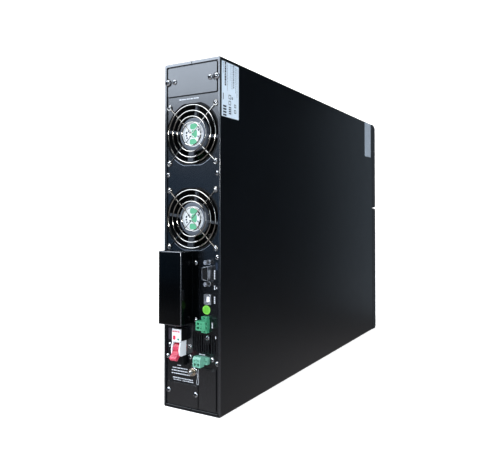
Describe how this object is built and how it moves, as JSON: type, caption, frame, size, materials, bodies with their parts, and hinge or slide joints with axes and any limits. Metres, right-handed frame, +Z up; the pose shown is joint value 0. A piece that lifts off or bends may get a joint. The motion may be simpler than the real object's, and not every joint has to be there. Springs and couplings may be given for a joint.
{
  "type": "uninterruptible power supply",
  "caption": "Slim tower or rack uninterruptible power supply: flat steel case, fan-cooled rear panel with terminal cover, breaker and ports, grille bezel with a turning display.",
  "frame": {"origin": "centre of the footprint, on the surface that the unit stands on", "axes": "+Z up in tower position, +Y from the display bezel towards the rear panel, +X the unit's narrow width"},
  "size_m": [0.0864, 0.6328, 0.438],
  "materials": {
    "shell_paint": "fine-textured matte black paint",
    "panel_paint": "semi-matte charcoal paint",
    "zinc_steel": "bright zinc plate",
    "nickel_wire": "bright nickel plate",
    "brass_nut": "bare brass",
    "aluminium_fins": "extruded, satin",
    "black_plastic": "moulded, satin",
    "bezel_plastic": "moulded, fine texture",
    "white_plastic": "moulded, satin",
    "red_plastic": "moulded, glossy",
    "green_plastic": "moulded, satin",
    "mint_plastic": "moulded, satin",
    "circuit_board": "solder mask",
    "copper_winding": "enamelled copper wire",
    "capacitor_sleeve": "shrink sleeve",
    "display_glass": "dark liquid crystal",
    "clear_window": "tinted acrylic",
    "button_rubber": "matte",
    "ribbon_plastic": "flat cable"
  },
  "bodies": {
    "chassis": {"base_shell": "shell_paint", "cover_shell": "shell_paint", "rear_panel": "panel_paint", "parallel_port_cover": "panel_paint", "lower_blank_cover": "panel_paint", "slot_cover": "panel_paint", "terminal_cover": "panel_paint", "front_frame": "panel_paint", "parallel_cover_screw_1": "zinc_steel", "parallel_cover_screw_2": "zinc_steel", "chassis_screw_1": "zinc_steel", "chassis_screw_2": "zinc_steel", "terminal_cover_screw_1": "zinc_steel", "terminal_cover_screw_2": "zinc_steel", "lower_cover_screw_1": "zinc_steel", "lower_cover_screw_2": "zinc_steel", "ground_stud": "zinc_steel", "fan_upper_guard": "nickel_wire", "fan_lower_guard": "nickel_wire", "serial_port_shell": "nickel_wire", "usb_port_shell": "nickel_wire", "ground_nut": "brass_nut", "rectifier_heatsink": "aluminium_fins", "inverter_heatsink": "aluminium_fins", "terminal_block": "black_plastic", "fan_upper_frame": "black_plastic", "fan_lower_frame": "black_plastic", "breaker_case": "black_plastic", "serial_port_insert": "black_plastic", "upper_bezel": "bezel_plastic", "lower_bezel": "bezel_plastic", "breaker_face": "white_plastic", "usb_port_tongue": "white_plastic", "epo_header": "green_plastic", "dry_contact_header": "mint_plastic", "power_board": "circuit_board", "control_board": "circuit_board", "emi_filter_board": "circuit_board", "comms_board": "circuit_board", "boost_choke": "copper_winding", "output_choke": "copper_winding", "auxiliary_transformer": "copper_winding", "bus_capacitor_1": "capacitor_sleeve", "bus_capacitor_2": "capacitor_sleeve", "bus_capacitor_3": "capacitor_sleeve", "bus_capacitor_4": "capacitor_sleeve", "display_ribbon": "ribbon_plastic"},
    "upper_rotor": {"fan_upper_rotor": "black_plastic"},
    "lower_rotor": {"fan_lower_rotor": "black_plastic"},
    "lever": {"breaker_lever": "red_plastic"},
    "display": {"display_housing": "bezel_plastic", "display_window": "clear_window", "lcd_panel": "display_glass", "display_board": "circuit_board"},
    "button_up": {"button_up": "button_rubber"},
    "button_down": {"button_down": "button_rubber"},
    "button_escape": {"button_escape": "button_rubber"},
    "button_enter": {"button_enter": "button_rubber"},
    "epo_plug": {"epo_plug": "green_plastic"},
    "dry_contact_plug": {"dry_contact_plug": "mint_plastic"}
  },
  "joints": [
    {"name": "upper_fan_spin", "type": "hinge", "parent": "chassis", "child": "upper_rotor", "pos_m": [0, 0.2712, 0.346], "axis": [0, 1, 0], "continuous": true},
    {"name": "lower_fan_spin", "type": "hinge", "parent": "chassis", "child": "lower_rotor", "pos_m": [0, 0.2712, 0.2396], "axis": [0, 1, 0], "continuous": true},
    {"name": "breaker_throw", "type": "hinge", "parent": "chassis", "child": "lever", "pos_m": [0.015, 0.2966, 0.078], "axis": [1, 0, 0], "range_deg": [0, 66]},
    {"name": "display_turn", "type": "hinge", "parent": "chassis", "child": "display", "pos_m": [0, -0.3094, 0.352], "axis": [0, -1, 0], "range_deg": [0, 90]},
    {"name": "press_up", "type": "slide", "parent": "display", "child": "button_up", "axis": [0, 1, 0], "range_m": [0, 0.0012], "stiffness_N_per_m": 400},
    {"name": "press_down", "type": "slide", "parent": "display", "child": "button_down", "axis": [0, 1, 0], "range_m": [0, 0.0012], "stiffness_N_per_m": 400},
    {"name": "press_escape", "type": "slide", "parent": "display", "child": "button_escape", "axis": [0, 1, 0], "range_m": [0, 0.0012], "stiffness_N_per_m": 400},
    {"name": "press_enter", "type": "slide", "parent": "display", "child": "button_enter", "axis": [0, 1, 0], "range_m": [0, 0.0012], "stiffness_N_per_m": 400},
    {"name": "epo_pull", "type": "slide", "parent": "chassis", "child": "epo_plug", "axis": [0, 1, 0], "range_m": [0, 0.012]},
    {"name": "dry_contact_pull", "type": "slide", "parent": "chassis", "child": "dry_contact_plug", "axis": [0, 1, 0], "range_m": [0, 0.012]}
  ]
}
